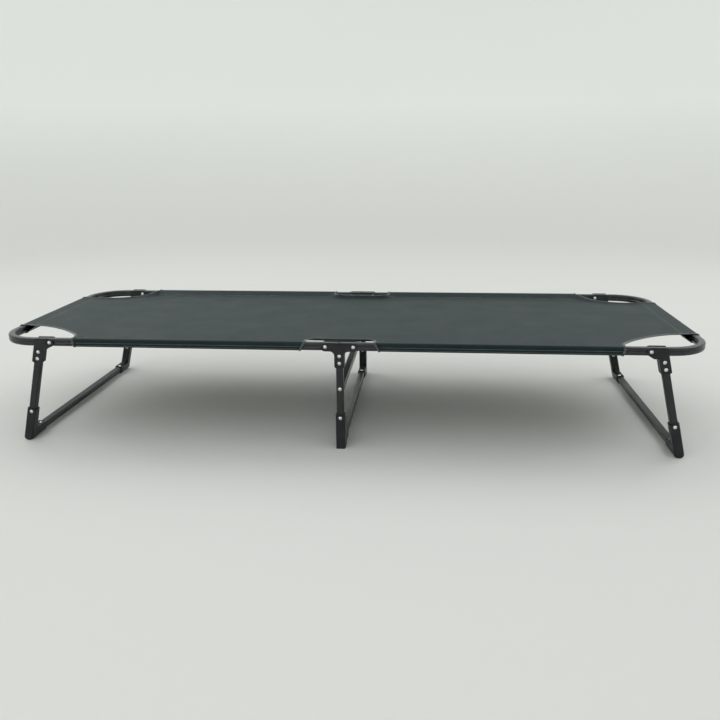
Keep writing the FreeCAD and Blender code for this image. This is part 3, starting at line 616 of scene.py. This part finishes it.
def moulded():
    """Black nylon moulding with a fine spark-eroded grain and paler rubbed spots."""
    look = Look("moulded_black", Specular_IOR_Level=0.38)
    place = look.coordinates()
    cells = look.node("TexVoronoi")
    cells.inputs["Scale"].default_value = 1500
    look.link(place, cells.inputs["Vector"])
    rubbed = look.noise(place, 30, detail=8, roughness=0.6)
    look.set("Base Color", look.colours(rubbed, (0.38, (0.005, 0.006, 0.008)), (0.72, (0.015, 0.017, 0.021))))
    look.set("Roughness", look.ramp(rubbed, 0.3, 0.7, 0.34, 0.50))
    grain = look.bump(cells.outputs["Distance"], 0.00020, 0.35)
    look.set("Normal", look.bump(rubbed, 0.0006, 0.15, under=grain))
    return look.material


def zinc():
    """Bright zinc plate on rivets and screws, with fine turning marks and dull spots."""
    look = Look("bright_zinc", Metallic=1.0)
    place = look.coordinates()
    spots = look.noise(place, 260, detail=5)
    marks = look.noise(look.coordinates(scale=(2500, 60, 2500)), 1.0, detail=2)
    look.set("Base Color", look.colours(spots, (0.35, (0.52, 0.53, 0.54)), (0.62, (0.80, 0.80, 0.79))))
    look.set("Roughness", look.ramp(look.math("ADD", spots, marks), 0.7, 1.3, 0.20, 0.40))
    look.set("Normal", look.bump(marks, 0.00006, 0.4))
    return look.material


def paint_frame(looks):
    """Every CAD node that shows gets the material of its slot."""
    slots = {row["node"]: row["material_slot"] for row in frame["record"]["subparts"]}
    for node, piece in frame["nodes"].items():
        if not piece.hide_render:
            piece.data.materials.clear()
            piece.data.materials.append(looks[slots[node]])


# ---------------------------------------------------------------- studio and camera
FLOOR_FLAT, FLOOR_END, WALL_TOP = 4.0, 8.0, 5.0
LIT_SPOT = 0, 0, 0.2
CAMERA_SPOT = 0.2309, -2.1778, 0.7932
CAMERA_TURN = -5.5, 16.41, 0.56     # yaw, pitch and roll, degrees
CAMERA_LENS, CAMERA_SENSOR = 36.76, 36


def studio():
    """A pale floor that curves up into a round wall, painted paler up the wall as painted light; soft light
    from above and behind.
    """
    rings, sides, spacing = 40, 96, 0.5
    profile = [(spacing * k, 0) for k in range(1, round(FLOOR_FLAT / spacing))]
    profile += [(FLOOR_FLAT + (FLOOR_END - FLOOR_FLAT) * math.sin(a), WALL_TOP * (1 - math.cos(a)))
                for a in np.radians(np.linspace(0, 90, rings))]
    verts = [(0, 0, 0)] + [(r * math.cos(a), r * math.sin(a), z) for r, z in profile
                           for a in np.linspace(0, 2 * math.pi, sides, endpoint=False)]
    faces = [(0, 1 + k, 1 + (k + 1) % sides) for k in range(sides)]
    for i in range(len(profile) - 1):
        for k in range(sides):
            n = (k + 1) % sides
            near, far = 1 + i * sides, 1 + (i + 1) * sides
            faces.append((near + k, far + k, far + n, near + n))
    mesh = bpy.data.meshes.new("studio_floor")
    mesh.from_pydata(verts, [], faces)
    mesh.shade_smooth()
    floor = link("studio_floor", mesh)
    look = Look("studio_paper_with_painted_light", Roughness=0.95, Specular_IOR_Level=0.1)
    height = look.node("SeparateXYZ")
    look.link(look.coordinates(), height.inputs["Vector"])
    # Painted light: the paper's colour grows paler with height, so the wall reads brighter than the lamps
    # alone make it.
    look.set("Base Color", look.colours(look.ramp(height.outputs["Z"], 0, 1.2, 0, 1),
                                        (0, (0.69, 0.69, 0.655)), (1, (0.90, 0.91, 0.87))))
    mesh.materials.append(look.material)

    world = bpy.data.worlds.new("studio")
    bpy.context.scene.world = world
    world.use_nodes = True
    sky = world.node_tree.nodes["Background"]
    sky.inputs["Color"].default_value = (0.95, 0.98, 1.0, 1)
    sky.inputs["Strength"].default_value = 0.9
    for name, spot, size, power in (
        ("overhead_left", (-2.4, 1.7, 3.2), 2.6, 22),
        ("overhead_right", (2.8, 1.5, 3.2), 2.6, 25),
        ("front_fill", (-1.5, -3.0, 2.2), 3.0, 14),
    ):
        lamp = bpy.data.lights.new(name, "AREA")
        lamp.shape, lamp.size, lamp.energy = "DISK", size, power
        light = bpy.data.objects.new(name, lamp)
        bpy.context.scene.collection.objects.link(light)
        light.location = spot
        light.rotation_euler = (Vector(LIT_SPOT) - Vector(spot)).to_track_quat("-Z", "Y").to_euler()


def photo_camera():
    """The photograph's viewpoint, as fitted to the cot's size."""
    yaw, pitch, roll = (math.radians(a) for a in CAMERA_TURN)
    ahead = Vector((math.sin(yaw) * math.cos(pitch), math.cos(yaw) * math.cos(pitch), -math.sin(pitch)))
    right = Vector((math.cos(yaw), -math.sin(yaw), 0))
    down = ahead.cross(right)
    level, drop = (math.cos(roll) * right + math.sin(roll) * down,
                   -math.sin(roll) * right + math.cos(roll) * down)
    data = bpy.data.cameras.new("photo")
    data.lens, data.sensor_width = CAMERA_LENS, CAMERA_SENSOR
    camera = bpy.data.objects.new("photo", data)
    bpy.context.scene.collection.objects.link(camera)
    turn = Matrix((level, -drop, -ahead)).transposed().to_4x4()
    camera.matrix_world = Matrix.Translation(CAMERA_SPOT) @ turn
    bpy.context.scene.camera = camera


# ---------------------------------------------------------------- build
looks = {
    "cloth": woven("deck_fabric", (0.003, 0.007, 0.008), (0.012, 0.020, 0.021)),
    "hem": woven("hem_fabric", (0.003, 0.005, 0.005), (0.010, 0.014, 0.014)),
    "thread": thread(),
    "rail_paint": powder_coat("rail_paint", (0.006, 0.007, 0.009), (0.016, 0.018, 0.022), 0.16),
    "leg_paint": powder_coat("leg_paint", (0.005, 0.006, 0.008), (0.013, 0.015, 0.018), 0.28),
    "moulded_black": moulded(),
    "rivet_steel": zinc(),
}
ring = flat_outline()
inner = lattice(ring)
for name, hand in HANDS:
    deck_half(name, hand, ring, inner, looks)
paint_frame(looks)
studio()
photo_camera()
bpy.context.scene.view_settings.view_transform = "Standard"
